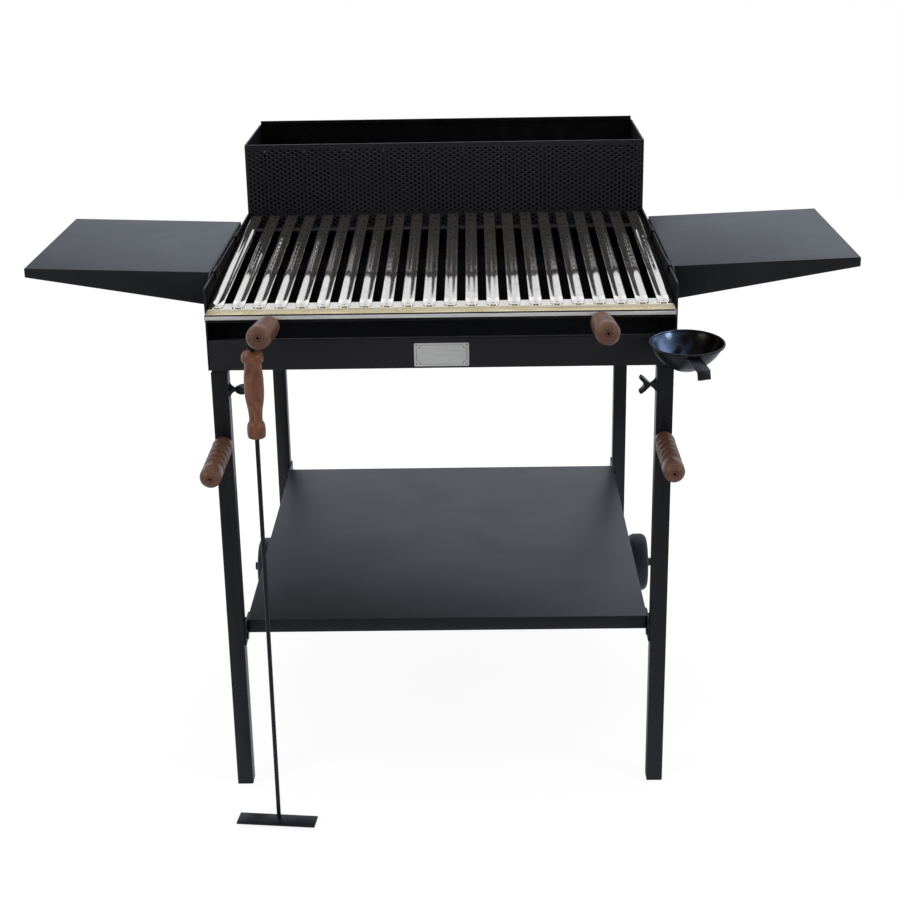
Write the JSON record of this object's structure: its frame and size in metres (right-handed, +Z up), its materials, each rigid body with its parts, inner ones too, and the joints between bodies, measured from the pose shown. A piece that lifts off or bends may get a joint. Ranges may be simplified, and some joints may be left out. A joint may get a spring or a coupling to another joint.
{
  "type": "outdoor barbecue",
  "caption": "Wheeled charcoal and wood barbecue with a sloping channel-bar grill, rear fire basket, two side shelves, a lower shelf, drip bowl and rake.",
  "frame": {"origin": "floor point under the middle of the whole object's box", "axes": "+X to the right side shelf, +Y from the grill handles to the fire basket, +Z up"},
  "size_m": [1.268, 1.0044, 0.962],
  "materials": {
    "black_sheet": "matte black powder coat, fine grain",
    "black_tube": "satin black powder coat",
    "grate_iron": "sooty dark steel rod",
    "stainless": "polished stainless, faint draw marks",
    "plate_metal": "pale brushed plate",
    "dark_screws": "blackened zinc fasteners",
    "handle_wood": "lacquered red-brown turned wood",
    "rake_wood": "lacquered orange-brown turned wood",
    "blued_steel": "glossy dark blued steel",
    "tyre_rubber": "dark grey moulded tyre",
    "hub_plastic": "black moulded plastic"
  },
  "bodies": {
    "root": {"side_wall_left": "black_sheet", "side_wall_right": "black_sheet", "firebox_floor": "black_sheet", "front_lip": "black_sheet", "rear_wall": "black_sheet", "perforated_panel": "black_sheet", "name_plate": "plate_metal", "plate_rivets": "stainless", "leg_front_left": "black_tube", "leg_front_right": "black_tube", "leg_rear_left": "black_tube", "leg_rear_right": "black_tube", "leg_stubs": "black_tube", "rear_leg_bolts": "dark_screws", "foot_plugs": "hub_plastic", "rear_leg_caps": "hub_plastic", "weld_nuts": "dark_screws", "leg_handle_left": "handle_wood", "leg_handle_right": "handle_wood", "leg_handle_rods": "dark_screws", "axle": "dark_screws", "axle_spacers": "dark_screws", "axle_caps": "dark_screws", "bottom_shelf": "black_sheet", "shelf_brackets": "black_sheet", "shelf_bolts": "dark_screws", "grill_rail_left": "black_sheet", "grill_rail_right": "black_sheet", "grate_rests": "black_sheet", "rake_hook": "black_tube", "bowl_bracket": "black_sheet"},
    "grill": {"grill_bars": "stainless", "grill_crossbar": "stainless", "grill_gutter": "stainless", "gutter_ends": "stainless", "grill_handle_left": "handle_wood", "grill_handle_right": "handle_wood", "grill_handle_rods": "dark_screws", "grill_handle_lugs": "stainless"},
    "log_grate": {"grate_bars": "grate_iron", "grate_floor_rods": "grate_iron", "grate_uprights": "grate_iron"},
    "shelf_left": {"side_shelf_left": "black_sheet", "shelf_mount_left": "black_sheet"},
    "shelf_right": {"side_shelf_right": "black_sheet", "shelf_mount_right": "black_sheet"},
    "wheel_left": {"wheel_tyre_left": "tyre_rubber", "wheel_hub_left": "hub_plastic"},
    "wheel_right": {"wheel_tyre_right": "tyre_rubber", "wheel_hub_right": "hub_plastic"},
    "wing_left": {"wing_screw_left": "dark_screws"},
    "wing_right": {"wing_screw_right": "dark_screws"},
    "rake": {"rake_handle": "rake_wood", "rake_rod": "black_tube", "rake_eye": "black_tube", "rake_blade": "black_tube"},
    "bowl": {"drip_bowl": "blued_steel", "bowl_bolt": "dark_screws", "bowl_strap": "blued_steel"}
  },
  "joints": [
    {"name": "grill_lift", "type": "slide", "parent": "root", "child": "grill", "axis": [0, 0, 1], "range_m": [0, 0.15]},
    {"name": "log_grate_lift", "type": "slide", "parent": "root", "child": "log_grate", "axis": [0, 0, 1], "range_m": [0, 0.18]},
    {"name": "shelf_left_lift", "type": "slide", "parent": "root", "child": "shelf_left", "axis": [0, 0, 1], "range_m": [0, 0.05]},
    {"name": "shelf_right_lift", "type": "slide", "parent": "root", "child": "shelf_right", "axis": [0, 0, 1], "range_m": [0, 0.05]},
    {"name": "bowl_lift", "type": "slide", "parent": "root", "child": "bowl", "axis": [0, 0, 1], "range_m": [0, 0.02]},
    {"name": "wheel_left_spin", "type": "hinge", "parent": "root", "child": "wheel_left", "pos_m": [-0.377, 0.44416, 0.058], "axis": [1, 0, 0], "continuous": true},
    {"name": "wheel_right_spin", "type": "hinge", "parent": "root", "child": "wheel_right", "pos_m": [0.377, 0.44416, 0.058], "axis": [1, 0, 0], "continuous": true},
    {"name": "wing_left_turn", "type": "hinge", "parent": "root", "child": "wing_left", "pos_m": [-0.31, -0.30184, 0.675], "axis": [1, 0, 0], "continuous": true},
    {"name": "wing_right_turn", "type": "hinge", "parent": "root", "child": "wing_right", "pos_m": [0.31, -0.30184, 0.675], "axis": [1, 0, 0], "continuous": true},
    {"name": "rake_swing", "type": "hinge", "parent": "root", "child": "rake", "pos_m": [-0.268, -0.42434, 0.7801], "axis": [0, 1, 0], "range_deg": [-20, 12]}
  ]
}
